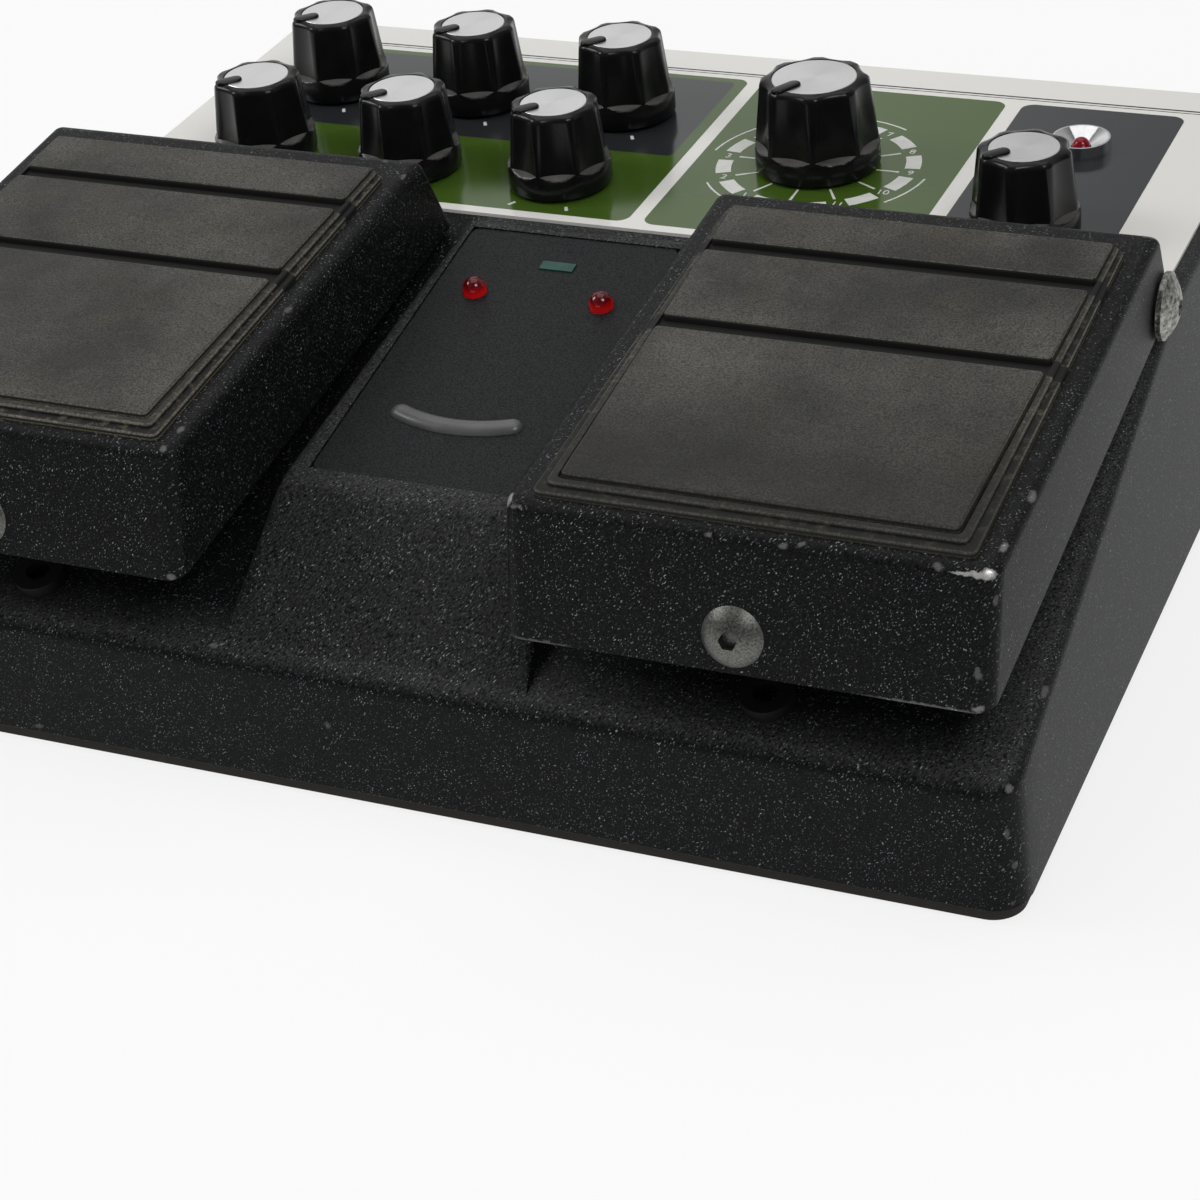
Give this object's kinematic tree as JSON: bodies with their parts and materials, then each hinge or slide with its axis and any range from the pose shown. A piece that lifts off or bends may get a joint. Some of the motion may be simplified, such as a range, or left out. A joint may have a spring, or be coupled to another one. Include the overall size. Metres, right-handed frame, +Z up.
{
  "type": "delay pedal",
  "caption": "Twin-pedal delay unit: black textured die-cast case with two sprung foot pedals, raised lamp console and a control panel of fluted knobs.",
  "frame": {"origin": "middle of the footprint, on the surface that the unit stands on", "axes": "+X to the right as seen by the player, +Y to the rear with the sockets, +Z up"},
  "size_m": [0.173, 0.1581, 0.057],
  "materials": {
    "case_paint": "black textured powder coat with fine metallic fleck",
    "panel_print": "satin printed sheet, off-white with green and dark grey fields",
    "label_film": "satin dark grey film",
    "crescent_clear": "glossy translucent grey",
    "lamp_red": "clear red dome",
    "lamp_green": "unlit green light pipe",
    "bezel_chrome": "polished",
    "knob_black": "glossy moulded black",
    "disc_metal": "spun face",
    "bright_steel": "plated",
    "screw_zinc": "dull oxidised zinc",
    "board_green": "solder-masked laminate",
    "tread_rubber": "worn ribbed rubber",
    "black_rubber": "matt",
    "sheet_rubber": "matt sheet",
    "bush_nylon": "natural nylon",
    "socket_black": "moulded black",
    "lead_grey": "flat ribbon",
    "base_steel": "grey coated sheet steel"
  },
  "bodies": {
    "case": {"top_case": "case_paint", "panel_plate": "panel_print", "console_plate": "label_film", "crescent_bar": "crescent_clear", "effect_lamp": "lamp_red", "tap_lamp": "lamp_red", "power_lamp": "lamp_green", "peak_lamp": "lamp_red", "peak_bezel": "bezel_chrome", "potentiometers": "bright_steel", "selector_switch": "bright_steel", "panel_nuts": "bright_steel", "control_board": "board_green", "hinge_screws": "screw_zinc", "hinge_bushes": "bush_nylon", "hinge_pins": "bright_steel", "left_spring": "bright_steel", "right_spring": "bright_steel", "foot_switches": "socket_black", "bump_stops": "black_rubber", "main_board": "board_green", "audio_sockets": "socket_black", "socket_nuts": "bright_steel", "power_inlet": "socket_black", "inner_leads": "lead_grey", "base_plate": "base_steel", "base_screws": "bright_steel", "base_sheet": "sheet_rubber"},
    "left_foot": {"left_pedal": "case_paint", "left_tread": "tread_rubber", "left_stop_screw": "screw_zinc"},
    "left_switch_rod": {"left_plunger": "bush_nylon"},
    "right_foot": {"right_pedal": "case_paint", "right_tread": "tread_rubber", "right_stop_screw": "screw_zinc"},
    "right_switch_rod": {"right_plunger": "bush_nylon"},
    "bass_control": {"bass_knob": "knob_black", "bass_disc": "disc_metal", "bass_shaft": "bright_steel"},
    "treble_control": {"treble_knob": "knob_black", "treble_disc": "disc_metal", "treble_shaft": "bright_steel"},
    "reverb_control": {"reverb_knob": "knob_black", "reverb_disc": "disc_metal", "reverb_shaft": "bright_steel"},
    "rate_control": {"rate_knob": "knob_black", "rate_disc": "disc_metal", "rate_shaft": "bright_steel"},
    "intensity_control": {"intensity_knob": "knob_black", "intensity_disc": "disc_metal", "intensity_shaft": "bright_steel"},
    "echo_control": {"echo_knob": "knob_black", "echo_disc": "disc_metal", "echo_shaft": "bright_steel"},
    "input_control": {"input_knob": "knob_black", "input_disc": "disc_metal", "input_shaft": "bright_steel"},
    "selector_control": {"selector_knob": "knob_black", "selector_disc": "disc_metal", "selector_shaft": "bright_steel"}
  },
  "joints": [
    {"name": "left_pedal_hinge", "type": "hinge", "parent": "case", "child": "left_foot", "pos_m": [0, -0.0004, 0.0452], "axis": [1, 0, 0], "range_deg": [0, 3], "stiffness_Nm_per_rad": 4.5, "springref_deg": -3.95, "deforming": ["left_spring"]},
    {"name": "left_plunger_slide", "type": "slide", "parent": "case", "child": "left_switch_rod", "axis": [0, 0, -1], "range_m": [0, 0.00205]},
    {"name": "right_pedal_hinge", "type": "hinge", "parent": "case", "child": "right_foot", "pos_m": [0, -0.0004, 0.0452], "axis": [1, 0, 0], "range_deg": [0, 3], "stiffness_Nm_per_rad": 4.5, "springref_deg": -3.95, "deforming": ["right_spring"]},
    {"name": "right_plunger_slide", "type": "slide", "parent": "case", "child": "right_switch_rod", "axis": [0, 0, -1], "range_m": [0, 0.00205]},
    {"name": "bass_turn", "type": "hinge", "parent": "case", "child": "bass_control", "pos_m": [-0.062, 0.0478, 0.0432], "axis": [0, 0, -1], "range_deg": [0, 270]},
    {"name": "treble_turn", "type": "hinge", "parent": "case", "child": "treble_control", "pos_m": [-0.0371, 0.0478, 0.0432], "axis": [0, 0, -1], "range_deg": [0, 270]},
    {"name": "reverb_turn", "type": "hinge", "parent": "case", "child": "reverb_control", "pos_m": [-0.0122, 0.0478, 0.0432], "axis": [0, 0, -1], "range_deg": [0, 270]},
    {"name": "rate_turn", "type": "hinge", "parent": "case", "child": "rate_control", "pos_m": [-0.062, 0.0222, 0.0432], "axis": [0, 0, -1], "range_deg": [0, 270]},
    {"name": "intensity_turn", "type": "hinge", "parent": "case", "child": "intensity_control", "pos_m": [-0.0371, 0.0222, 0.0432], "axis": [0, 0, -1], "range_deg": [0, 270]},
    {"name": "echo_turn", "type": "hinge", "parent": "case", "child": "echo_control", "pos_m": [-0.0122, 0.0222, 0.0432], "axis": [0, 0, -1], "range_deg": [0, 270]},
    {"name": "input_turn", "type": "hinge", "parent": "case", "child": "input_control", "pos_m": [0.0592, 0.0216, 0.0432], "axis": [0, 0, -1], "range_deg": [0, 270]},
    {"name": "selector_turn", "type": "hinge", "parent": "case", "child": "selector_control", "pos_m": [0.0234, 0.0365, 0.0432], "axis": [0, 0, -1], "range_deg": [0, 330]}
  ],
  "couplings": [
    {"joint": "left_plunger_slide", "follows": "left_pedal_hinge", "m_per_rad": 0.0388},
    {"joint": "right_plunger_slide", "follows": "right_pedal_hinge", "m_per_rad": 0.0388}
  ]
}
